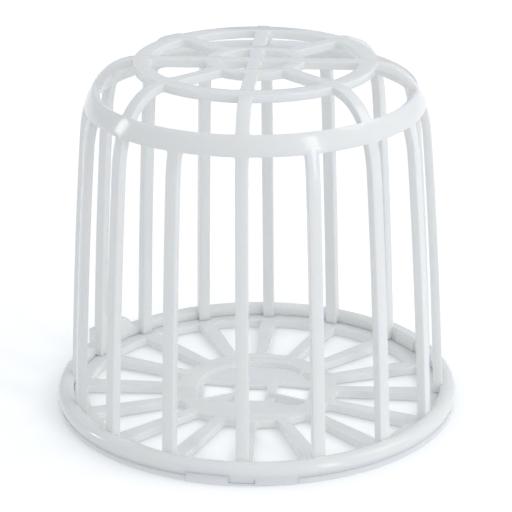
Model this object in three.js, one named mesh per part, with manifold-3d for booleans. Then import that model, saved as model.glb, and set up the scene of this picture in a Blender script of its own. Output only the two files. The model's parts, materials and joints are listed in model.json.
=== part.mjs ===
// Queen cage: a moulded dome of upright bars that twists down onto a spoked base plate.
// Millimetres, +Z up, origin at the centre of the base's underside, bar 1 faces -Y.
import * as THREE from 'three';
import { mergeVertices } from 'three/addons/utils/BufferGeometryUtils.js';
import Module from 'manifold-3d';

const wasm = await Module();
wasm.setup();

// ---- driving dimensions ----
const FLANGE_RADIUS = 15.0;          // widest radius of the dome's bottom ring
const FLANGE_BORE = 13.8;            // inner wall of that ring
const FLANGE_BOTTOM = 0.45;
const FLANGE_TOP = 1.55;
const FLANGE_SHOULDER = 1.32;        // height of the ring's top at its bore
const BULGE_CENTRE = [14.35, 0.93];  // radius and height of the middle of its bulge
const BULGE_ARC = [-32, 128];        // degrees of the bulge, up from the outside
const FLANGE_FOOT = 14.8;            // outer radius of its flat foot
const BAR_COUNT = 16;
const BAR_WIDTH = 0.9;
const BAR_DEPTH = 0.7;
const BAR_FOOT = 0.77;               // lower end of the bars, just over the floor
const RIB_COUNT = 8;                 // every second bar runs on over the shoulder
const HOOP_BOTTOM = 23.16;
const HOOP_TOP = 24.56;
const HOOP_THICKNESS = 0.62;
const CROWN_TOP = 26.4;
const CROWN_THICKNESS = 0.6;
const CROWN_RADIUS = 8.7;
const CROWN_BORE = 7.5;
const CROWN_HUB_RADIUS = 3.54;
const CROWN_HUB_BORE = 2.6;
const CROWN_SPOKE_WIDTH = 0.95;
const CROSS_MARGIN = 0.01;           // from the corner of the cross to a window's inner arc
const RIM_RADIUS = 14.9;             // base plate's outer rim
const RIM_THICKNESS = 0.4;
const RIM_BEVEL = 0.1;
const FLOOR_RADIUS = 13.7;           // raised floor that fits inside the dome's ring
const FLOOR_INSET = 13.13;           // where the spoked floor meets the rim
const FLOOR_BOTTOM = 0.12;
const FLOOR_TOP = 0.72;
const WINDOW_INNER = 6.05;           // floor windows, from the hub out to the rim
const WINDOW_OUTER = 12.7;
const SPOKE_HALF_INNER = 0.41;       // floor spokes widen towards the rim
const SPOKE_HALF_OUTER = 0.63;
const HUB_RECESS = 4.47;             // sunk disc in the middle of the floor
const HUB_PLATE_TOP = 0.39;
const LEFT_OPENING = [[-4.1, 1.35], [-1.75, 1.03], [-1.6, -2.1], [-3.85, -2.2]];
const MIDDLE_OPENING = [[-0.85, 0.75], [0.75, 0.75], [0.75, -1.85], [-0.85, -1.85]];
const RIGHT_OPENING = [[1.5, 1.35], [4.1, 0.9], [3.85, -2.35], [1.5, -2.3]];
const LEFT_GUSSET = [[-1.2, -0.85], [-4.1, -2.35]];   // from a leg out to the recess
const RIGHT_GUSSET = [[1.1, -0.85], [4.15, -2.25]];
const GUSSET_THICKNESS = 0.26;
const GUSSET_TOP = 0.6;
const CATCH_COUNT = 3;
const CATCH_ANGLE = 11.7;            // degrees of arc of a catch tab or lug
const CATCH_START = 3.5;             // degrees from the bar's axis to a catch
const CATCH_DEPTH = 0.34;
const CATCH_MARGIN = 0.3;            // degrees of play at each end of a tab or lug
const LEAD_IN_END = 1;               // degrees by which a lead-in runs on under its lug
const LEAD_IN_BOTTOM = 0.24;
const LUG_BOTTOM = 0.05;
const LUG_INSET = 0.06;              // lugs stop short of the ring's outside
const TAB_TOP = 0.75;
const TAB_BEVEL = 0.08;
const GRIP_START = -132.5;           // degrees, raised grip at the back left of the ring
const GRIP_END = -110;
const GRIP_INNER = 13.98;
const GRIP_OUTER = 14.28;
const GRIP_CREST = [[2.76, 3.0], [-1.56, 2.45]];      // its top, along the ring and up
const GRIP_RAMP = [[-1.56, 2.45], [-2.76, 1.5]];
const LAND_START = 114.5;            // degrees, low land at the back right of the ring
const LAND_END = 133;
const LAND_SECTION = [13.82, 14.55, 1.8];             // inner and outer radius, top
const BOSS_START = 121;              // boss on the bore under the land
const BOSS_END = 130.7;
const BOSS_SECTION = [13.62, 14.0, 1.62];
const WALL_CURVE = [[14.04, 0], [13.56, 11.25], [12.7, 21.0]];    // radius and height
const SHOULDER_CURVE = [[12.7, 21.0], [12.44, 24.0], [11.1, 26.16], [CROWN_RADIUS, CROWN_TOP]];
const WALL_STEPS = 8;
const SHOULDER_STEPS = 12;
const HOOP_STEPS = 2;
const SEGMENTS = 64;                 // facets in a full turn
const CUTTER_STEPS = 4;              // facets of an arc of a window
const BULGE_STEPS = 9;
const JOIN_GAP = 0.02;               // between features of one moulding
const BODY_GAP = 0.03;               // between the round parts of the base
const CLEARANCE = 0.05;              // between dome and base

// ---- solids ----
const degrees = THREE.MathUtils.degToRad;
const toVector = ([x, y]) => new THREE.Vector2(x, y);

function toSolid(geometry) {
  const bare = geometry.clone();
  bare.deleteAttribute('normal');
  bare.deleteAttribute('uv');
  const welded = mergeVertices(bare, 1e-5);
  return new wasm.Manifold(new wasm.Mesh({
    numProp: 3,
    vertProperties: new Float32Array(welded.attributes.position.array),
    triVerts: new Uint32Array(welded.index.array),
  }));
}

function toGeometry(solid) {
  const mesh = solid.getMesh();
  const geometry = new THREE.BufferGeometry();
  geometry.setAttribute('position', new THREE.BufferAttribute(mesh.vertProperties, 3));
  geometry.setIndex(new THREE.BufferAttribute(mesh.triVerts, 1));
  geometry.computeVertexNormals();
  return geometry;
}

// Turned ring: outline points are (radius, height), anticlockwise, and closed here.
function turned(outline) {
  const points = [...outline, outline[0]].map(toVector);
  return toSolid(new THREE.LatheGeometry(points, SEGMENTS).rotateX(Math.PI / 2));
}

// Flat plate: a shape in plan, between two heights.
function plate(shape, bottom, top) {
  const settings = { depth: top - bottom, bevelEnabled: false, curveSegments: SEGMENTS };
  return toSolid(new THREE.ExtrudeGeometry(shape, settings).translate(0, 0, bottom));
}

// Upright blade in the plane of bar 1: outline points are (radius, height).
function blade(outline, width) {
  const shape = new THREE.Shape(outline.map(toVector));
  const geometry = new THREE.ExtrudeGeometry(shape, { depth: width, bevelEnabled: false });
  geometry.translate(0, 0, -width / 2);
  const plane = new THREE.Matrix4().makeBasis(
    new THREE.Vector3(0, -1, 0), new THREE.Vector3(0, 0, 1), new THREE.Vector3(-1, 0, 0));
  return toSolid(geometry.applyMatrix4(plane));
}

function block(low, high) {
  const size = high.map((value, i) => value - low[i]);
  const centre = high.map((value, i) => (value + low[i]) / 2);
  return toSolid(new THREE.BoxGeometry(...size).translate(...centre));
}

// Wedge in plan from one angle to another, measured from -Y towards +X.
function wedge(fromDegrees, toDegrees, bottom, top) {
  const reach = 2 * FLANGE_RADIUS;
  const corner = (angle) => new THREE.Vector2(
    reach * Math.sin(degrees(angle)), -reach * Math.cos(degrees(angle)));
  const shape = new THREE.Shape([new THREE.Vector2(0, 0), corner(fromDegrees), corner(toDegrees)]);
  return plate(shape, bottom, top);
}

function turnedSector(outline, fromDegrees, toDegrees) {
  return turned(outline).intersect(wedge(fromDegrees, toDegrees, -1, CROWN_TOP));
}

// Keeps what lies under the sloping plane through two (x, height) points, given from high to low.
function trimmedUnder(solid, [[x1, z1], [x0, z0]]) {
  const slope = (z1 - z0) / (x1 - x0);
  const length = Math.hypot(slope, 1);
  return solid.trimByPlane([slope / length, 0, -1 / length], (slope * x0 - z0) / length);
}

function rectangle(inner, outer, bottom, top) {
  return [[inner, bottom], [outer, bottom], [outer, top], [inner, top]];
}

// ---- the dome's outline, in the plane of a bar ----
const wall = new THREE.QuadraticBezierCurve(...WALL_CURVE.map(toVector));
const shoulder = new THREE.CubicBezierCurve(...SHOULDER_CURVE.map(toVector));

// Points along the dome's outside, each with the inward normal there.
function domeSamples() {
  const samples = [];
  for (const [curve, steps] of [[wall, WALL_STEPS], [shoulder, SHOULDER_STEPS]]) {
    for (let i = samples.length ? 1 : 0; i <= steps; i += 1) {
      const tangent = curve.getTangent(i / steps);
      samples.push({
        point: curve.getPoint(i / steps),
        inward: new THREE.Vector2(-tangent.y, tangent.x),
      });
    }
  }
  return samples;
}

// The outline of one whole rib, from below the floor to the crown.
function ribOutline() {
  const samples = domeSamples();
  const outside = samples.map(({ point }) => [point.x, point.y]);
  const inside = samples.map(({ point, inward }, i) => {
    const depth = THREE.MathUtils.lerp(BAR_DEPTH, CROWN_THICKNESS, i / (samples.length - 1));
    return [point.x + depth * inward.x, point.y + depth * inward.y];
  });
  return [...outside, ...inside.reverse()];
}

function domeRadiusAt(height) {
  const samples = domeSamples().map(({ point }) => point);
  const next = samples.findIndex((point) => point.y > height);
  const [a, b] = [samples[next - 1], samples[next]];
  return THREE.MathUtils.mapLinear(height, a.y, b.y, a.x, b.x);
}

// ---- dome ----
// Ring section: flat foot, bulged outside, rounded crown, straight bore.
function flangeOutline(grow = 0) {
  const [radius, height] = BULGE_CENTRE;
  const arc = new THREE.EllipseCurve(
    radius, height, FLANGE_RADIUS - radius + grow, FLANGE_TOP - height + grow,
    ...BULGE_ARC.map(degrees));
  const rounded = arc.getPoints(BULGE_STEPS).map((point) => [point.x, point.y]);
  return [
    [FLANGE_BORE - grow, FLANGE_BOTTOM - grow],
    [FLANGE_FOOT + grow, FLANGE_BOTTOM - grow],
    ...rounded,
    [FLANGE_BORE - grow, FLANGE_SHOULDER + grow],
  ];
}

const spread = (count) => Array.from({ length: count }, (_, i) => (i * 360) / count);
const catchAngles = spread(CATCH_COUNT);

function flangeRing() {
  const seat = rectangle(RIM_RADIUS - CATCH_DEPTH, FLANGE_RADIUS + 1, 0, TAB_TOP + CLEARANCE);
  return catchAngles.reduce((ring, angle) => ring.subtract(turnedSector(
    seat, angle - CATCH_START - CATCH_ANGLE - CATCH_MARGIN, angle - CATCH_START + CATCH_MARGIN)),
  turned(flangeOutline()));
}

function bar() {
  const reach = FLANGE_RADIUS;
  return blade(ribOutline(), BAR_WIDTH)
    .intersect(block([-reach, -reach, BAR_FOOT], [reach, 0, HOOP_BOTTOM - JOIN_GAP]))
    .subtract(turned(flangeOutline(JOIN_GAP)));
}

function shoulderRib() {
  const reach = FLANGE_RADIUS;
  return blade(ribOutline(), CROWN_SPOKE_WIDTH)
    .intersect(block([-reach, -reach, HOOP_TOP + JOIN_GAP],
      [reach, -CROWN_RADIUS - JOIN_GAP, CROWN_TOP + 1]));
}

function shoulderHoop() {
  const heights = Array.from({ length: HOOP_STEPS + 1 },
    (_, i) => THREE.MathUtils.lerp(HOOP_BOTTOM, HOOP_TOP, i / HOOP_STEPS));
  const outside = heights.map((z) => [domeRadiusAt(z), z]);
  const inside = outside.map(([r, z]) => [r - HOOP_THICKNESS, z]).reverse();
  return turned([...outside, ...inside]);
}

// Plan of one window between two spokes, centred on an angle.
function windowPath(angle, pitch, inner, outer, halfInner, halfOuter) {
  const start = angle - pitch / 2;
  const end = angle + pitch / 2;
  const innerSpan = Math.asin(halfInner / inner);
  const outerSpan = Math.asin(halfOuter / outer);
  const path = new THREE.Path();
  path.absarc(0, 0, outer, start + outerSpan, end - outerSpan, false);
  path.absarc(0, 0, inner, end - innerSpan, start + innerSpan, true);
  path.closePath();
  return path;
}

function disc(radius) {
  return new THREE.Shape().absarc(0, 0, radius, 0, 2 * Math.PI, false);
}

// Cutters for the windows of a grille.
function windowCutters(count, inner, outer, halfInner, halfOuter, bottom, top) {
  const pitch = (2 * Math.PI) / count;
  return Array.from({ length: count }, (_, i) => {
    const path = windowPath((i + 0.5) * pitch, pitch, inner, outer, halfInner, halfOuter);
    const shape = new THREE.Shape(path.getPoints(CUTTER_STEPS));
    return plate(shape, bottom, top);
  });
}

// Flat grille on top: outer ring, eight spokes, hub ring and the cross inside it.
function crownGrille() {
  const bottom = CROWN_TOP - CROWN_THICKNESS;
  const half = CROWN_SPOKE_WIDTH / 2;
  const windows = windowCutters(
    RIB_COUNT, CROWN_HUB_RADIUS, CROWN_BORE, half, half, bottom - 1, CROWN_TOP + 1);
  const quarters = windowCutters(
    4, half * Math.SQRT2 + CROSS_MARGIN, CROWN_HUB_BORE, half, half, bottom - 1, CROWN_TOP + 1);
  return [...windows, ...quarters].reduce(
    (grille, cutter) => grille.subtract(cutter),
    plate(disc(CROWN_RADIUS), bottom, CROWN_TOP));
}

// Lug under the ring that drops into the base's notch, with a shallow lead-in.
function catchLug() {
  const inner = RIM_RADIUS - CATCH_DEPTH;
  const outer = FLANGE_RADIUS - LUG_INSET;
  const top = FLANGE_BOTTOM - JOIN_GAP;
  const leadIn = turnedSector(
    rectangle(inner, outer, LEAD_IN_BOTTOM, top), -CATCH_START, CATCH_START + LEAD_IN_END);
  const lug = turnedSector(
    rectangle(inner, outer, LUG_BOTTOM, top), CATCH_START, CATCH_START + CATCH_ANGLE);
  return leadIn.add(lug);
}

// Raised grip on the ring: a wall whose top slopes gently, then falls away as a ramp.
function gripTab() {
  const half = (GRIP_END - GRIP_START) / 2;
  const standing = turnedSector(
    rectangle(GRIP_INNER, GRIP_OUTER, FLANGE_SHOULDER, GRIP_CREST[0][1]), -half, half);
  return trimmedUnder(trimmedUnder(standing, GRIP_CREST), GRIP_RAMP)
    .subtract(turned(flangeOutline(JOIN_GAP)));
}

// Low land on the ring, and the boss under it that stands out from the bore.
function ringLand() {
  const [landInner, landOuter, landTop] = LAND_SECTION;
  const [bossInner, bossOuter, bossTop] = BOSS_SECTION;
  const land = turnedSector(
    rectangle(landInner, landOuter, FLANGE_SHOULDER, landTop), LAND_START, LAND_END);
  const boss = turnedSector(
    rectangle(bossInner, bossOuter, BAR_FOOT, bossTop), BOSS_START, BOSS_END);
  return land.add(boss).subtract(turned(flangeOutline(JOIN_GAP)));
}

// ---- base ----
function baseRim() {
  const ring = turned([
    [FLOOR_INSET, 0], [RIM_RADIUS - RIM_BEVEL, 0], [RIM_RADIUS, RIM_BEVEL],
    [RIM_RADIUS, RIM_THICKNESS], [FLOOR_RADIUS, RIM_THICKNESS],
    [FLOOR_RADIUS, FLOOR_TOP], [FLOOR_INSET, FLOOR_TOP],
  ]);
  const edge = RIM_RADIUS - CATCH_DEPTH - CLEARANCE;
  const shallow = rectangle(edge, FLANGE_RADIUS + 1, LEAD_IN_BOTTOM - CLEARANCE, 1);
  const deep = rectangle(edge, FLANGE_RADIUS + 1, -1, 1);
  return catchAngles.reduce((rim, angle) => rim
    .subtract(turnedSector(shallow, angle - CATCH_START, angle + CATCH_START + LEAD_IN_END))
    .subtract(turnedSector(deep, angle + CATCH_START - CATCH_MARGIN,
      angle + CATCH_START + CATCH_ANGLE + CATCH_MARGIN)), ring);
}

function floorGrille() {
  const windows = windowCutters(BAR_COUNT, WINDOW_INNER, WINDOW_OUTER,
    SPOKE_HALF_INNER, SPOKE_HALF_OUTER, -1, FLOOR_TOP + 1);
  return windows.reduce((grille, cutter) => grille.subtract(cutter),
    plate(disc(FLOOR_INSET - BODY_GAP), FLOOR_BOTTOM, FLOOR_TOP)
      .subtract(plate(disc(HUB_RECESS), -1, FLOOR_TOP + 1)));
}

// Fin across an opening of the sunk disc, standing on the ground.
function gusset([[x0, y0], [x1, y1]]) {
  const half = GUSSET_THICKNESS / 2;
  const turn = THREE.MathUtils.radToDeg(Math.atan2(y1 - y0, x1 - x0));
  return block([0, -half, 0], [Math.hypot(x1 - x0, y1 - y0), half, GUSSET_TOP])
    .rotate([0, 0, turn])
    .translate([x0, y0, 0]);
}

// Sunk disc in the hub: two wedge openings, one between two legs, and a gusset across each wedge.
function hubSocket() {
  const radius = HUB_RECESS - BODY_GAP;
  const openings = [LEFT_OPENING, MIDDLE_OPENING, RIGHT_OPENING].map((corners) => plate(
    new THREE.Shape(corners.map(toVector)), -1, FLOOR_TOP));
  const sunk = openings.reduce((part, opening) => part.subtract(opening),
    plate(disc(radius), FLOOR_BOTTOM, HUB_PLATE_TOP));
  return sunk.add(gusset(LEFT_GUSSET)).add(gusset(RIGHT_GUSSET))
    .intersect(plate(disc(radius), 0, FLOOR_TOP));
}

// Tab on the base's rim that stands up over the ring's outside.
function catchTab() {
  const inner = RIM_RADIUS - CATCH_DEPTH + CLEARANCE;
  const outline = [
    [inner, RIM_THICKNESS + JOIN_GAP], [RIM_RADIUS + JOIN_GAP, RIM_THICKNESS + JOIN_GAP],
    [RIM_RADIUS + JOIN_GAP, 0], [FLANGE_RADIUS, 0], [FLANGE_RADIUS, TAB_TOP - TAB_BEVEL],
    [FLANGE_RADIUS - TAB_BEVEL, TAB_TOP], [inner, TAB_TOP],
  ];
  return turnedSector(outline, -CATCH_START - CATCH_ANGLE, -CATCH_START);
}

// ---- assembly ----
const white = { color: 0xe9ecee, roughness: 0.38, metalness: 0 };

function addCopies(group, name, solid, angles) {
  const geometry = toGeometry(solid);
  angles.forEach((angle, i) => {
    const mesh = new THREE.Mesh(geometry, new THREE.MeshStandardMaterial(white));
    mesh.name = angles.length > 1 ? `${name}_${String(i + 1).padStart(2, '0')}` : name;
    mesh.rotation.z = degrees(angle);
    group.add(mesh);
  });
}

const dome = new THREE.Group();
addCopies(dome, 'flange_ring', flangeRing(), [0]);
addCopies(dome, 'bar', bar(), spread(BAR_COUNT));
addCopies(dome, 'shoulder_hoop', shoulderHoop(), [0]);
addCopies(dome, 'shoulder_rib', shoulderRib(), spread(RIB_COUNT));
addCopies(dome, 'crown_grille', crownGrille(), [0]);
addCopies(dome, 'catch_lug', catchLug(), catchAngles);
addCopies(dome, 'grip_tab', gripTab(), [(GRIP_START + GRIP_END) / 2]);
addCopies(dome, 'ring_land', ringLand(), [0]);

const base = new THREE.Group();
addCopies(base, 'base_rim', baseRim(), [0]);
addCopies(base, 'floor_grille', floorGrille(), [0]);
addCopies(base, 'hub_socket', hubSocket(), [0]);
addCopies(base, 'catch_tab', catchTab(), catchAngles);

const cage = new THREE.Group();
cage.add(dome, base);

export default cage;
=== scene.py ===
"""Queen cage: its two mouldings, their plastic and a pale studio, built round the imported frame.

Shapes are worked out in millimetres, angles in degrees from -Y towards +X, where bar 1 stands.
"""

import json
import math
from bisect import bisect_right

import bmesh
import bpy
from mathutils import Matrix, Vector
from mathutils.geometry import delaunay_2d_cdt, tessellate_polygon


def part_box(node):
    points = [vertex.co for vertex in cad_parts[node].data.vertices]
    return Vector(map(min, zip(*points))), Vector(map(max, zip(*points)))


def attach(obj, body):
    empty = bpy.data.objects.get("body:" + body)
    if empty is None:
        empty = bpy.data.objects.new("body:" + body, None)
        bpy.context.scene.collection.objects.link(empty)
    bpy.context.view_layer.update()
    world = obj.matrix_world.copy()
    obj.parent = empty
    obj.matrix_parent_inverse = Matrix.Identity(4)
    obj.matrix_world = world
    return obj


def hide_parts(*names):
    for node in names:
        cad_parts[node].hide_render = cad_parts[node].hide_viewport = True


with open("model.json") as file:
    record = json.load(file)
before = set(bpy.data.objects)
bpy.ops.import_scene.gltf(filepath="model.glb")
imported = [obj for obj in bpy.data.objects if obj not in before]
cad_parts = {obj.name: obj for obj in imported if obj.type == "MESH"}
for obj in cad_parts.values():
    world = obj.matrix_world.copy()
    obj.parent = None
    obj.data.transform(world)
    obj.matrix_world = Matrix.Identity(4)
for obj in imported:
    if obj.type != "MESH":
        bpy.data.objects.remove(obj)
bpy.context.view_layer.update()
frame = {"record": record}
scene = bpy.context.scene
MM = 0.001


def points(*pairs):
    return [Vector(pair) for pair in pairs]


# ---- sizes ----
def extent(node):
    """Lowest and highest corner of a CAD node, in millimetres."""
    low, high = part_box(node)
    return low / MM, high / MM


ring_low, ring_high = extent("flange_ring")
hoop_low, hoop_high = extent("shoulder_hoop")
crown_low, crown_high = extent("crown_grille")
bar_high = extent("bar_01")[1]
rib_high = extent("shoulder_rib_01")[1]
floor_low, floor_high = extent("floor_grille")
tab_high = extent("catch_tab_01")[1]

BAR_COUNT = 16
BAR_PITCH = 360 / BAR_COUNT
RIB_COUNT = BAR_COUNT // 2  # every second bar runs on over the shoulder
RIB_PITCH = 360 / RIB_COUNT
BAR_HALF = bar_high.x
RIB_HALF = rib_high.x
WALL_DEPTH = 0.70  # thickness of the bars at the foot
CROWN_DEPTH = crown_high.z - crown_low.z

RING_RADIUS = ring_high.x
RING_BORE = 13.8
RING_SHOULDER = 1.32  # height of the ring's top at its bore
RING_FOOT = 14.88  # outer radius of its flat foot
RING_MIDDLE = 0.8  # height inside the ring, where the features on it begin
RING_ROUND = 0.12  # radius along the top of its bore
BULGE_CENTRE = Vector((14.35, 0.93))
BULGE_ARC = (-32, 128)  # degrees, up from the outside
CROWN_RADIUS = crown_high.x
CROWN_BORE = 7.5
CROWN_HUB = 3.54
CROWN_HUB_BORE = 2.6
CROWN_CORNERS = (0.12, 0.25)  # corner radii of a window, at its inner and outer end
CROSS_COUNT = 4  # windows round the cross inside the hub ring
CROSS_CORNERS = (0.12, 0.2)

RIM_RADIUS = 14.9
CLEARANCE = 0.005  # between the two mouldings
RIM_TOP = ring_low.z - CLEARANCE
FLOOR_RADIUS = RING_BORE - CLEARANCE
FLOOR_TOP = floor_high.z
FLOOR_BOTTOM = floor_low.z
WINDOW_INNER = 6.05
WINDOW_OUTER = 12.7
SPOKE_HALF_INNER = 0.41
SPOKE_HALF_OUTER = 0.63
FLOOR_CORNERS = (0.3, 0.06)
LEDGE_INNER = WINDOW_OUTER + 0.2  # the rim's ledge starts here and takes the floor's edge
FLOOR_OVERLAP = 0.3  # the floor's plate ends that far inside the ledge
RECESS_RADIUS = 4.47
RECESS_TOP = 0.39
RECESS_EDGE = 0.05  # radius along the openings' edges
RECESS_BEVEL = 0.1  # half the width of its sloping wall, in plan
LEFT_OPENING = points((-4.1, 1.35), (-1.75, 1.03), (-1.6, -2.1), (-3.85, -2.2))
MIDDLE_OPENING = points((-0.85, 0.75), (0.75, 0.75), (0.75, -1.85), (-0.85, -1.85))
RIGHT_OPENING = points((1.5, 1.35), (4.1, 0.9), (3.85, -2.35), (1.5, -2.3))
OPENING_ROUND = 0.15
LEFT_GUSSET = points((-1.2, -0.85), (-4.1, -2.35))  # from a leg of the hub out to the recess
RIGHT_GUSSET = points((1.1, -0.85), (4.15, -2.25))
GUSSET_HALF = 0.13
GUSSET_TOP = 0.6

CATCH_ANGLES = (0, 120, 240)
CATCH_START = 3.5  # degrees from the bar's axis to a catch
CATCH_ARC = 11.7
CATCH_DEPTH = 0.34
CATCH_MARGIN = 0.03  # degrees of play at each end of a catch
CATCH_INNER = RIM_RADIUS - CATCH_DEPTH
TAB_TOP = tab_high.z
TAB_ROUND = 0.03
LUG_BOTTOM = 0.05
LUG_INSET = 0.06  # the lugs stop short of the ring's outside
LUG_ROUND = 0.04
LEAD_IN_BOTTOM = 0.24
LEAD_IN_GAP = 0.05  # under a lead-in

GRIP_START = -110  # raised grip between two bars at the back left
GRIP_SLOPE_END = -127.6
GRIP_OUTER = 14.28
GRIP_TOP = 3.0
GRIP_FALL = 0.03  # of its top, for each degree
GRIP_RAMP = points((-129.6, 2.2), (-130.4, 1.45), (-132.5, 1.35))  # (angle, height), to its end
GRIP_ROUND = 0.08
LAND_START = 114.5  # low land between two bars at the back right
LAND_END = 137.4
LAND_OUTER = 14.55
LAND_TOP = 1.8
LAND_ROUND = 0.1
LAND_STEP = 0.02  # from the bore out to the land, and from its top down to the boss
BOSS_START = 121
BOSS_END = 130.7
BOSS_INNER = 13.66
BOSS_OUTER = 14.0
BOSS_SHOULDER = 1.5  # where its face starts to lean back to the land

EDGE = 0.06  # radius that the mould leaves along the edges
CRISP = 0.02  # radius along the edges that meet the other moulding
SHARP = 32  # degrees between two faces that meet in a visible edge
EDGE_STEPS = 3
QUARTER_STEPS = 4  # facets of a quarter round beside the hoop or in a bar's tip
BAR_STEPS = 28  # along the side of a bar
BAY_STEPS = 5  # along the hoop, from bar to bar
BAR_AXIS_STEPS = 30
RIB_AXIS_STEPS = 48
HOOP_ROWS = 4
HOOP_COLUMNS = 24  # from rib to rib
BULGE_STEPS = 20
MERIDIAN_STEPS = 120
RECESS_STEPS = 144
GRIP_STEPS = 12
RAMP_STEPS = 10
TURN_STEPS = 288  # facets in a full turn
BEYOND = 1  # how far a cutter reaches past what it cuts


# ---- lines and curves ----
def polar(radius, angle, height=0.0):
    turn = math.radians(angle)
    return Vector((radius * math.sin(turn), -radius * math.cos(turn), height))


def bezier(controls, t):
    while len(controls) > 1:
        controls = [a.lerp(b, t) for a, b in zip(controls, controls[1:])]
    return controls[0]


def steps(start, end, count):
    return [start + (end - start) * i / count for i in range(count + 1)]


def rounded(corners, radius, count=EDGE_STEPS):
    """A closed outline with each corner cut round."""
    line = []
    for i, here in enumerate(corners):
        before, after = corners[i - 1], corners[(i + 1) % len(corners)]
        start, end = (
            here + (other - here).normalized() * min(radius, (other - here).length / 2)
            for other in (before, after)
        )
        line += [bezier([start, here, end], t) for t in steps(0, 1, count)]
    return line


def rectangle(left, right, low, high):
    return points((left, low), (right, low), (right, high), (left, high))


def arc(centre, radius, start, end, count):
    return [
        Vector((centre[0] + radius * math.cos(t), centre[1] + radius * math.sin(t)))
        for t in (math.radians(a) for a in steps(start, end, count))
    ]


def area(line):
    return sum(a.x * b.y - b.x * a.y for a, b in zip(line, line[1:] + line[:1])) / 2


def wound(line, anticlockwise=True):
    return line if (area(line) > 0) == anticlockwise else line[::-1]


def moved_in(line, distance):
    """A closed outline moved sideways by that distance, to its left."""
    moved = []
    for before, here, after in zip(line[-1:] + line[:-1], line, line[1:] + line[:1]):
        first, second = (here - before).normalized(), (after - here).normalized()
        along = (first + second).normalized()
        mitre = distance / max(along.dot(first), 0.5)
        moved.append(here + Vector((-along.y, along.x)) * mitre)
    return moved


def edge_arc(radius):
    """Round an edge from the face to the side: how far in from the side, how far below the face."""
    turns = steps(0, math.pi / 2, EDGE_STEPS)
    return [(radius * (1 - math.sin(t)), radius * (1 - math.cos(t))) for t in turns]


# ---- solids ----
def bridge(bm, lines, closed):
    """Faces between each line of points and the next."""
    rows = [[bm.verts.new(p) for p in line] for line in lines]
    for a, b in zip(rows, rows[1:]):
        for i in range(len(a) if closed else len(a) - 1):
            j = (i + 1) % len(a)
            bm.faces.new((a[i], a[j], b[j], b[i]))
    return rows


def solid(name, bm):
    bmesh.ops.remove_doubles(bm, verts=bm.verts, dist=1e-5)
    bmesh.ops.recalc_face_normals(bm, faces=bm.faces)
    mesh = bpy.data.meshes.new(name)
    bm.to_mesh(mesh)
    bm.free()
    made = bpy.data.objects.new(name, mesh)
    scene.collection.objects.link(made)
    return made


def turned(name, profile):
    """A ring: the profile's points are (radius, height)."""
    bm = bmesh.new()
    lines = [[polar(p.x, a, p.y) for p in profile] for a in steps(0, 360, TURN_STEPS)]
    bridge(bm, lines, closed=True)
    return solid(name, bm)


def sector(bm, profile, start, end, radius=EDGE):
    """Part of a turn, with its two ends rounded."""
    profile = wound(profile)
    reach = max(p.x for p in profile)
    ends = [(inset, math.degrees(drop / reach)) for inset, drop in edge_arc(radius)]
    count = max(2, round(end - start))
    middle = steps(start + ends[-1][1], end - ends[-1][1], count)
    sections = [(inset, start + turn) for inset, turn in ends[:-1]]
    sections += [(0, angle) for angle in middle]
    sections += [(inset, end - turn) for inset, turn in reversed(ends[:-1])]
    lines = [
        [polar(p.x, angle, p.y) for p in (moved_in(profile, inset) if inset else profile)]
        for inset, angle in sections
    ]
    rows = bridge(bm, lines, closed=True)
    bm.faces.new(rows[0])
    bm.faces.new(rows[-1])


def plate(name, outer, holes, low, high, radius=EDGE):
    """A flat plate with rounded edges: outlines in plan, between two heights."""
    bm = bmesh.new()
    outlines = [wound(outer)] + [wound(hole, anticlockwise=False) for hole in holes]
    sections = [(inset, high - drop) for inset, drop in edge_arc(radius)]
    sections += [(inset, low + drop) for inset, drop in reversed(edge_arc(radius))]
    for outline in outlines:
        lines = [
            [p.to_3d() + Vector((0, 0, z)) for p in moved_in(outline, inset)]
            for inset, z in sections
        ]
        bridge(bm, lines, closed=True)
    faces = [[p.to_3d() for p in moved_in(outline, radius)] for outline in outlines]
    flat = [p for line in faces for p in line]
    for z in (low, high):
        cap = [bm.verts.new(p + Vector((0, 0, z))) for p in flat]
        for triangle in tessellate_polygon(faces):
            bm.faces.new([cap[i] for i in triangle])
    return solid(name, bm)


def block(name, low, high):
    """A plain box between two corners."""
    low, high = Vector(low), Vector(high)
    bm = bmesh.new()
    place = Matrix.Translation((high + low) / 2) @ Matrix.Diagonal((*(high - low), 1))
    bmesh.ops.create_cube(bm, size=1, matrix=place)
    return solid(name, bm)


def combine(target, tool, operation):
    """Joins or cuts target with tool, which is used up."""
    step = target.modifiers.new("combine", "BOOLEAN")
    step.operation = operation
    step.solver = "MANIFOLD"
    step.object = tool
    bpy.context.view_layer.update()
    made = target.evaluated_get(bpy.context.evaluated_depsgraph_get())
    mesh = bpy.data.meshes.new_from_object(made)
    target.modifiers.clear()
    target.data = mesh
    bpy.data.objects.remove(tool)
    return target


def union(target, *tools):
    for tool in tools:
        combine(target, tool, "UNION")
    return target


# ---- the dome's outline, in the plane of a bar: points are (radius, height) ----
WALL_CURVE = points((14.04, 0), (13.56, 11.25), (12.7, 21.0))
SHOULDER_CURVE = points((12.7, 21.0), (12.44, 24.0), (11.1, 26.16), (CROWN_RADIUS, crown_high.z))
RIB_END = 7.9  # the ribs run on flat into the crown's ring, to this radius
FLUSH = 0.004  # the ribs lie that much below the crown's face


def meridian_table():
    """Points along the outline, and how far along it each one is."""
    line = [bezier(WALL_CURVE, t) for t in steps(0, 1, MERIDIAN_STEPS)]
    line += [bezier(SHOULDER_CURVE, t) for t in steps(0, 1, MERIDIAN_STEPS)][1:]
    line.append(Vector((RIB_END, crown_high.z)))
    lengths = [0.0]
    for a, b in zip(line, line[1:]):
        lengths.append(lengths[-1] + (b - a).length)
    return line, lengths


MERIDIAN, LENGTHS = meridian_table()


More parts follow.
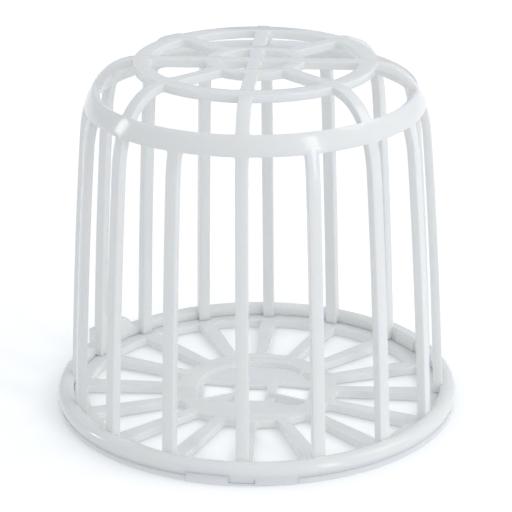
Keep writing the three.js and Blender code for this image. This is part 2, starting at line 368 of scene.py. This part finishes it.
def along(length):
    """The outline's point and its inward normal, that far along."""
    i = min(max(bisect_right(LENGTHS, length) - 1, 0), len(LENGTHS) - 2)
    a, b = MERIDIAN[i], MERIDIAN[i + 1]
    share = (length - LENGTHS[i]) / (LENGTHS[i + 1] - LENGTHS[i])
    run = (b - a).normalized()
    return a.lerp(b, share), Vector((-run.y, run.x))


def smooth_normal(length, reach=0.4):
    return (along(length - reach)[1] + along(length + reach)[1]).normalized()


def length_at(height):
    i = next(i for i, p in enumerate(MERIDIAN) if p.y >= height)
    a, b = MERIDIAN[i - 1], MERIDIAN[i]
    return LENGTHS[i - 1] + (height - a.y) / (b.y - a.y) * (LENGTHS[i] - LENGTHS[i - 1])


FOOT = length_at(FLOOR_TOP + CLEARANCE)
HOOP_START = length_at(hoop_low.z)
HOOP_END = length_at(hoop_high.z)
TIP = LENGTHS[-1]


def on_dome(angle, length, depth=0.0, from_inside=False):
    """A point of the dome's wall; depth is measured inwards, or outwards from the inner face."""
    point, normal = along(length)[0], smooth_normal(length)
    if from_inside:
        thickness = WALL_DEPTH + (CROWN_DEPTH - WALL_DEPTH) * length / TIP
        depth = thickness - depth
    place = point + normal * depth
    return polar(place.x, angle, place.y - FLUSH)


TIP_ROUND = 0.14
WALL_FILLET = 0.15


def finger(axis, side, half, tip, hoop, inset):
    """From a bar's tip up its side and round the fillet to the hoop: (angle, length) points.

    side is 1 for the bar's side at the larger angle, and inset moves the line into the plastic.
    """
    up = 1 if hoop > tip else -1
    quarter = steps(0, math.pi / 2, QUARTER_STEPS)
    line = [(0, tip + up * inset)]
    for t in quarter:
        reach = TIP_ROUND - inset
        line.append((half - TIP_ROUND + reach * math.sin(t),
                     tip + up * (TIP_ROUND - reach * math.cos(t))))
    low, high = tip + up * TIP_ROUND, hoop - up * WALL_FILLET
    line += [(half - inset, length) for length in steps(low, high, BAR_STEPS)[1:-1]]
    for t in quarter:
        reach = WALL_FILLET + inset
        line.append((half + WALL_FILLET - reach * math.cos(t), high + up * reach * math.sin(t)))
    return [
        (axis + side * math.degrees(math.asin(across / along(length)[0].x)), length)
        for across, length in line
    ]


def bay(left, right, half, tip, hoop, inset):
    """The edge of a bay: up one bar, along the hoop and down the next bar."""
    first = finger(left, 1, half, tip, hoop, inset)
    last = finger(right, -1, half, tip, hoop, inset)[::-1]
    level = first[-1][1]
    count = BAY_STEPS * round((right - left) / BAR_PITCH)
    between = steps(first[-1][0], last[0][0], count)[1:-1]
    return first + [(angle, level) for angle in between] + last


def wall_lines(inset):
    """Lower and upper edge of one sector of the wall, from rib to rib."""
    lower = bay(0, BAR_PITCH, BAR_HALF, FOOT, HOOP_START, inset)
    lower += bay(BAR_PITCH, RIB_PITCH, BAR_HALF, FOOT, HOOP_START, inset)[1:]
    upper = bay(0, RIB_PITCH, RIB_HALF, TIP, HOOP_END, inset)
    return lower, upper


def wall_face():
    """Triangles of one sector's face, in (angle, length)."""
    lower, upper = wall_lines(EDGE)
    margin = 0.3  # from the points on a bar's axis to its tip
    bar_axis = steps(FOOT + margin, TIP - margin, RIB_AXIS_STEPS)
    side = [(RIB_PITCH, length) for length in bar_axis]
    outline = lower + side + upper[::-1] + [(0, length) for length in reversed(bar_axis)]
    inside = [
        (BAR_PITCH, length)
        for length in steps(FOOT + margin, HOOP_END - margin, BAR_AXIS_STEPS)
    ]
    for length in steps(HOOP_START, HOOP_END, HOOP_ROWS)[1:-1]:
        inside += [(angle, length) for angle in steps(0, RIB_PITCH, HOOP_COLUMNS)[1:-1]]
    scale = math.radians(CROWN_RADIUS + 4)  # degrees to millimetres, about halfway up
    flat = [Vector((angle * scale, length)) for angle, length in outline + inside]
    edge = list(range(len(outline)))
    made = delaunay_2d_cdt(flat, [], [edge], 1, 1e-6)
    return [(p.x / scale, p.y) for p in made[0]], made[2]


def wall():
    """The dome's bars, hoop and ribs in one piece."""
    bm = bmesh.new()
    face, triangles = wall_face()
    rings = edge_arc(EDGE)
    sections = [(inset, drop, False) for inset, drop in rings]
    sections += [(inset, drop, True) for inset, drop in reversed(rings)]
    edges = [(wall_lines(inset), drop, inner) for inset, drop, inner in sections]
    for i in range(RIB_COUNT):
        turn = i * RIB_PITCH
        for inner in (False, True):
            cap = [bm.verts.new(on_dome(a + turn, s, 0, inner)) for a, s in face]
            for triangle in triangles:
                bm.faces.new([cap[j] for j in triangle])
        for which in (0, 1):
            bridge(bm, [
                [on_dome(a + turn, s, drop, inner) for a, s in lines[which]]
                for lines, drop, inner in edges
            ], closed=False)
    return solid("wall", bm)


# ---- windows between the spokes of a flat grille ----
def half_window(inner, outer, half, splay, corners, pitch):
    """Half of a window, beside a spoke that lies along the x axis, from its inner end outwards."""
    mid = math.radians(pitch / 2 - splay)
    line = []
    inner_round, outer_round = corners
    across = half + inner_round
    if inner:
        centre = (math.sqrt((inner + inner_round) ** 2 - across**2), across)
        start = math.atan2(centre[1], centre[0])
        line += [Vector((inner * math.cos(t), inner * math.sin(t)))
                 for t in steps(mid, start, 3)[:-1]]
    else:
        centre = (across / math.tan(mid), across)
        start = mid
    line += arc(centre, inner_round, 180 + math.degrees(start), 270, 4)
    across = half + outer_round
    centre = (math.sqrt((outer - outer_round) ** 2 - across**2), across)
    start = math.atan2(centre[1], centre[0])
    line += arc(centre, outer_round, -90, math.degrees(start), 4)
    line += [Vector((outer * math.cos(t), outer * math.sin(t)))
             for t in steps(start, mid, 8)[1:]]
    return [Matrix.Rotation(math.radians(splay), 2) @ p for p in line]


def windows(count, inner, outer, half_inner, half_outer, corners):
    """The windows of a grille; spokes may widen from half_inner to half_outer."""
    pitch = 360 / count
    splay = math.atan2(half_outer - half_inner, outer - (inner or 0))
    half = half_inner * math.cos(splay) - (inner or 0) * math.sin(splay)
    side = half_window(inner, outer, half, math.degrees(splay), corners, pitch)
    made = []
    for i in range(count):
        near, far = math.radians(i * pitch), math.radians((i + 1) * pitch)
        first = [Matrix.Rotation(near, 2) @ p for p in side]
        last = [Matrix.Rotation(far, 2) @ Vector((p.x, -p.y)) for p in side]
        made.append(first + last[-2::-1] if inner is None else first + last[-2:0:-1])
    return made


def circle(radius, count=TURN_STEPS):
    return arc((0, 0), radius, 0, 360, count)[:-1]


# ---- dome ----
def ring_profile():
    """Flat foot, bulged outside, rounded top, straight bore."""
    size = Vector((RING_RADIUS, ring_high.z)) - BULGE_CENTRE
    bulge = [
        BULGE_CENTRE + Vector((size.x * math.cos(t), size.y * math.sin(t)))
        for t in (math.radians(a) for a in steps(*BULGE_ARC, BULGE_STEPS))
    ]
    foot = points((RING_BORE, ring_low.z), (RING_FOOT, ring_low.z), bulge[0])
    bore = points(bulge[-1], (RING_BORE, RING_SHOULDER), (RING_BORE, ring_low.z))
    foot, bore = rounded(foot, CRISP), rounded(bore, RING_ROUND)
    per_corner = EDGE_STEPS + 1
    return foot[:2 * per_corner] + bulge + bore[per_corner:2 * per_corner]


def ring():
    """Bottom ring, with seats cut into its outside for the base's tabs."""
    made = turned("ring", ring_profile())
    bm = bmesh.new()
    seat = rectangle(CATCH_INNER, RING_RADIUS + BEYOND, -BEYOND, TAB_TOP + CLEARANCE)
    for angle in CATCH_ANGLES:
        end = angle - CATCH_START + CATCH_MARGIN
        sector(bm, seat, end - CATCH_ARC - 2 * CATCH_MARGIN, end, CRISP)
    return combine(made, solid("seats", bm), "DIFFERENCE")


def crown():
    """Flat grille on top: outer ring, spokes, hub ring and a cross in it."""
    holes = windows(RIB_COUNT, CROWN_HUB, CROWN_BORE, RIB_HALF, RIB_HALF, CROWN_CORNERS)
    holes += windows(CROSS_COUNT, None, CROWN_HUB_BORE, RIB_HALF, RIB_HALF, CROSS_CORNERS)
    return plate("crown", circle(CROWN_RADIUS), holes, crown_low.z, crown_high.z)


def lugs():
    """Catch lugs under the ring, each with a shallow lead-in beside it."""
    bm = bmesh.new()
    lug, lead_in = (
        rounded(rectangle(CATCH_INNER, RING_RADIUS - LUG_INSET, bottom, RING_MIDDLE), LUG_ROUND)
        for bottom in (LUG_BOTTOM, LEAD_IN_BOTTOM)
    )
    for angle in CATCH_ANGLES:
        start = angle + CATCH_START
        sector(bm, lug, start, start + CATCH_ARC, CRISP)
        sector(bm, lead_in, angle - CATCH_START, start - 3 * CATCH_MARGIN, CRISP)
    return solid("lugs", bm)


def grip():
    """Wall raised on the ring between two bars: its top falls away and ends in a hollow ramp."""
    bm = bmesh.new()
    slope = points(*(
        (angle, GRIP_TOP - GRIP_FALL * (GRIP_START - angle))
        for angle in steps(GRIP_START, GRIP_SLOPE_END, GRIP_STEPS)
    ))
    ramp = slope[-1:] + GRIP_RAMP
    ramp = [bezier(ramp, t) for t in steps(0, 1, RAMP_STEPS)][1:]
    lines = []
    for angle, top in slope + ramp:
        profile = rounded(rectangle(RING_BORE, GRIP_OUTER, RING_MIDDLE, top), GRIP_ROUND)
        lines.append([polar(p.x, angle, p.y) for p in profile])
    rows = bridge(bm, lines, closed=True)
    bm.faces.new(rows[0])
    bm.faces.new(rows[-1])
    return solid("grip", bm)


def land():
    """Low land on the ring at the back right."""
    bm = bmesh.new()
    profile = rectangle(RING_BORE + LAND_STEP, LAND_OUTER, RING_MIDDLE, LAND_TOP)
    sector(bm, rounded(profile, LAND_ROUND), LAND_START, LAND_END, LAND_ROUND)
    return solid("land", bm)


def boss():
    """Thickening of the bore under the land."""
    bm = bmesh.new()
    low, high = FLOOR_TOP + CLEARANCE, LAND_TOP - LAND_STEP
    profile = points((BOSS_INNER, low), (BOSS_OUTER, low), (BOSS_OUTER, high),
                     (RING_BORE + LAND_ROUND, high), (BOSS_INNER, BOSS_SHOULDER))
    sector(bm, profile, BOSS_START, BOSS_END, CRISP)
    return solid("boss", bm)


def build_dome():
    made = union(wall(), ring(), crown(), lugs(), grip(), land(), boss())
    made.name = "dome_moulding"
    return made


# ---- base ----
def rim():
    """Outer rim, and the ledge inside the ring; notches let the lugs and lead-ins through."""
    profile = points((LEDGE_INNER, 0), (RIM_RADIUS, 0), (RIM_RADIUS, RIM_TOP),
                     (FLOOR_RADIUS, RIM_TOP), (FLOOR_RADIUS, FLOOR_TOP), (LEDGE_INNER, FLOOR_TOP))
    made = turned("rim", rounded(profile, CLEARANCE))
    bm = bmesh.new()
    deep, shallow = (
        rectangle(CATCH_INNER - CLEARANCE, RING_RADIUS + BEYOND, bottom, BEYOND)
        for bottom in (-BEYOND, LEAD_IN_BOTTOM - LEAD_IN_GAP)
    )
    for angle in CATCH_ANGLES:
        start = angle + CATCH_START
        sector(bm, deep, start - CATCH_MARGIN, start + CATCH_ARC + CATCH_MARGIN, CRISP)
        sector(bm, shallow, angle - CATCH_START, start - 2 * CATCH_MARGIN, CRISP)
    return combine(made, solid("notches", bm), "DIFFERENCE")


def floor():
    """Spoked floor, with the recess and its sloping wall in the middle."""
    holes = windows(BAR_COUNT, WINDOW_INNER, WINDOW_OUTER, SPOKE_HALF_INNER, SPOKE_HALF_OUTER,
                    FLOOR_CORNERS)
    holes.append(circle(RECESS_RADIUS - RECESS_BEVEL, RECESS_STEPS))
    outline = circle(FLOOR_RADIUS - FLOOR_OVERLAP)
    made = plate("floor", outline, holes, FLOOR_BOTTOM, FLOOR_TOP)
    bm = bmesh.new()
    height = FLOOR_TOP - RECESS_TOP
    bmesh.ops.create_cone(
        bm, cap_ends=True, segments=RECESS_STEPS, radius1=RECESS_RADIUS - RECESS_BEVEL,
        radius2=RECESS_RADIUS + 3 * RECESS_BEVEL, depth=2 * height,
        matrix=Matrix.Translation((0, 0, FLOOR_TOP)))
    return combine(made, solid("bevel", bm), "DIFFERENCE")


def hub():
    """Sunk disc with three openings: a wedge on each side and one between the legs."""
    outline = circle(RECESS_RADIUS + RECESS_BEVEL, RECESS_STEPS)
    openings = [
        rounded(corners, OPENING_ROUND)
        for corners in (LEFT_OPENING, MIDDLE_OPENING, RIGHT_OPENING)
    ]
    return plate("hub", outline, openings, FLOOR_BOTTOM, RECESS_TOP, RECESS_EDGE)


def gusset(start, end):
    """Fin from a leg of the hub out to the recess, standing on the ground."""
    reach = end - start
    made = block("gusset", (0, -GUSSET_HALF, 0), (reach.length, GUSSET_HALF, GUSSET_TOP))
    turn = Matrix.Rotation(math.atan2(reach.y, reach.x), 4, "Z")
    made.data.transform(Matrix.Translation(start.to_3d()) @ turn)
    return made


def tabs():
    """Tabs that stand up over the ring's outside."""
    bm = bmesh.new()
    profile = rounded(rectangle(CATCH_INNER + CLEARANCE, RING_RADIUS, 0.0, TAB_TOP), TAB_ROUND)
    for angle in CATCH_ANGLES:
        end = angle - CATCH_START
        sector(bm, profile, end - CATCH_ARC, end, TAB_ROUND)
    return solid("tabs", bm)


def build_base():
    gussets = gusset(*LEFT_GUSSET), gusset(*RIGHT_GUSSET)
    made = union(rim(), floor(), hub(), *gussets, tabs())
    made.name = "base_moulding"
    return made


# ---- finish ----
def polypropylene(name, seed):
    """White semi-gloss plastic, slightly translucent, with the mould's fine grain."""
    material = bpy.data.materials.new(name)
    material.use_nodes = True
    nodes, links = material.node_tree.nodes, material.node_tree.links
    shader = nodes["Principled BSDF"]
    shader.inputs["IOR"].default_value = 1.49
    shader.inputs["Subsurface Weight"].default_value = 0.6
    shader.inputs["Subsurface Radius"].default_value = (0.0006, 0.00055, 0.0004)
    shader.inputs["Subsurface Scale"].default_value = 1.0

    place = nodes.new("ShaderNodeTexCoord")

    def noise(scale, detail):
        texture = nodes.new("ShaderNodeTexNoise")
        texture.noise_dimensions = "4D"
        texture.inputs["W"].default_value = seed
        texture.inputs["Scale"].default_value = scale
        texture.inputs["Detail"].default_value = detail
        links.new(place.outputs["Object"], texture.inputs["Vector"])
        return texture.outputs["Fac"]

    def ramp(source, low, high, socket):
        mapped = nodes.new("ShaderNodeMapRange")
        mapped.inputs["To Min"].default_value = low
        mapped.inputs["To Max"].default_value = high
        links.new(source, mapped.inputs["Value"])
        links.new(mapped.outputs["Result"], socket)

    cloud = nodes.new("ShaderNodeMix")
    cloud.data_type = "RGBA"
    cloud.inputs["A"].default_value = (0.90, 0.905, 0.895, 1)
    cloud.inputs["B"].default_value = (0.91, 0.915, 0.91, 1)
    links.new(noise(220, 3), cloud.inputs["Factor"])
    links.new(cloud.outputs["Result"], shader.inputs["Base Color"])
    ramp(noise(900, 4), 0.11, 0.16, shader.inputs["Roughness"])

    bump = nodes.new("ShaderNodeBump")
    bump.inputs["Strength"].default_value = 0.1
    bump.inputs["Distance"].default_value = 0.00001
    links.new(noise(6000, 3), bump.inputs["Height"])
    links.new(bump.outputs["Normal"], shader.inputs["Normal"])
    return material


def soften(piece):
    """Metres instead of millimetres, and smooth shading except across sharp edges."""
    bm = bmesh.new()
    bm.from_mesh(piece.data)
    bm.transform(Matrix.Scale(MM, 4))
    for face in bm.faces:
        face.smooth = True
    for edge in bm.edges:
        edge.smooth = edge.calc_face_angle(math.pi) < math.radians(SHARP)
    bm.to_mesh(piece.data)
    bm.free()
    weigh = piece.modifiers.new("weigh", "WEIGHTED_NORMAL")
    weigh.keep_sharp = True


def add_piece(piece, body, material):
    soften(piece)
    piece.data.materials.clear()
    piece.data.materials.append(material)
    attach(piece, body)
    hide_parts(*frame["record"]["behaviour"]["bodies"][body])


# ---- studio ----
def add_light(name, place, size, power):
    """A rectangle of light that faces the cage's foot."""
    data = bpy.data.lights.new(name, "AREA")
    data.shape = "RECTANGLE"
    data.size, data.size_y = size
    data.energy = power
    lamp = bpy.data.objects.new(name, data)
    lamp.location = place
    lamp.rotation_euler = (-Vector(place)).to_track_quat("-Z", "Y").to_euler()
    scene.collection.objects.link(lamp)


def pale_ground():
    """A white floor with a glow of its own, dimmed near the cage into a painted contact shadow."""
    bm = bmesh.new()
    bmesh.ops.create_grid(bm, x_segments=1, y_segments=1, size=2)
    mesh = bpy.data.meshes.new("studio_floor")
    bm.to_mesh(mesh)
    bm.free()
    ground = bpy.data.objects.new("studio_floor", mesh)
    scene.collection.objects.link(ground)
    pale = bpy.data.materials.new("studio_white")
    pale.use_nodes = True
    shader = pale.node_tree.nodes["Principled BSDF"]
    shader.inputs["Base Color"].default_value = (0.9, 0.9, 0.9, 1)
    shader.inputs["Roughness"].default_value = 0.9
    shader.inputs["Emission Strength"].default_value = 0.36
    # Ambient occlusion darkens the floor's glow next to the cage: a painted contact shadow.
    painted_contact_shadow = pale.node_tree.nodes.new("ShaderNodeAmbientOcclusion")
    painted_contact_shadow.inputs["Distance"].default_value = 0.006  # painted contact shadow: the glow fades close to the cage
    pale.node_tree.links.new(painted_contact_shadow.outputs["Color"], shader.inputs["Emission Color"])
    ground.data.materials.append(pale)
    ground.visible_diffuse = False  # the lower half of the world lights the cage instead
    ground.visible_shadow = False


def pale_world():
    """Soft even light from all round."""
    world = bpy.data.worlds.new("studio_world")
    world.use_nodes = True
    nodes, links = world.node_tree.nodes, world.node_tree.links
    direction = nodes.new("ShaderNodeTexCoord")
    slope = nodes.new("ShaderNodeVectorMath")
    slope.operation = "DOT_PRODUCT"
    slope.inputs[1].default_value = (0.07, 0.0, 0.0)  # brighter on the right
    level = nodes.new("ShaderNodeMath")
    level.inputs[1].default_value = 0.64
    links.new(direction.outputs["Generated"], slope.inputs[0])
    links.new(slope.outputs["Value"], level.inputs[0])
    links.new(level.outputs["Value"], nodes["Background"].inputs["Strength"])
    nodes["Background"].inputs["Color"].default_value = (0.96, 1.0, 1.05, 1)
    scene.world = world


def studio():
    pale_ground()
    pale_world()
    add_light("key", polar(0.38, 44, 0.14), (0.055, 0.30), 0.24)
    add_light("side", polar(0.33, 92, 0.30), (0.20, 0.20), 0.25)
    add_light("glint", polar(0.40, -96, 0.12), (0.05, 0.12), 0.12)
    scene.view_settings.view_transform = "Standard"


def camera():
    data = bpy.data.cameras.new("camera")
    data.lens = 151.72
    data.sensor_width = 36
    data.clip_start = 0.01
    made = bpy.data.objects.new("camera", data)
    azimuth, pitch, roll = 0.074414, 0.37549, -0.00596
    distance, height = 0.14828, 0.06974
    made.matrix_world = (
        Matrix.Translation((distance * math.sin(azimuth), -distance * math.cos(azimuth), height))
        @ Matrix.Rotation(azimuth, 4, "Z")
        @ Matrix.Rotation(math.pi / 2 - pitch, 4, "X")
        @ Matrix.Rotation(roll, 4, "Z")
    )
    scene.collection.objects.link(made)
    scene.camera = made


camera()
studio()
add_piece(build_dome(), "dome", polypropylene("dome_polypropylene", 1.0))
add_piece(build_base(), "base", polypropylene("base_polypropylene", 5.0))
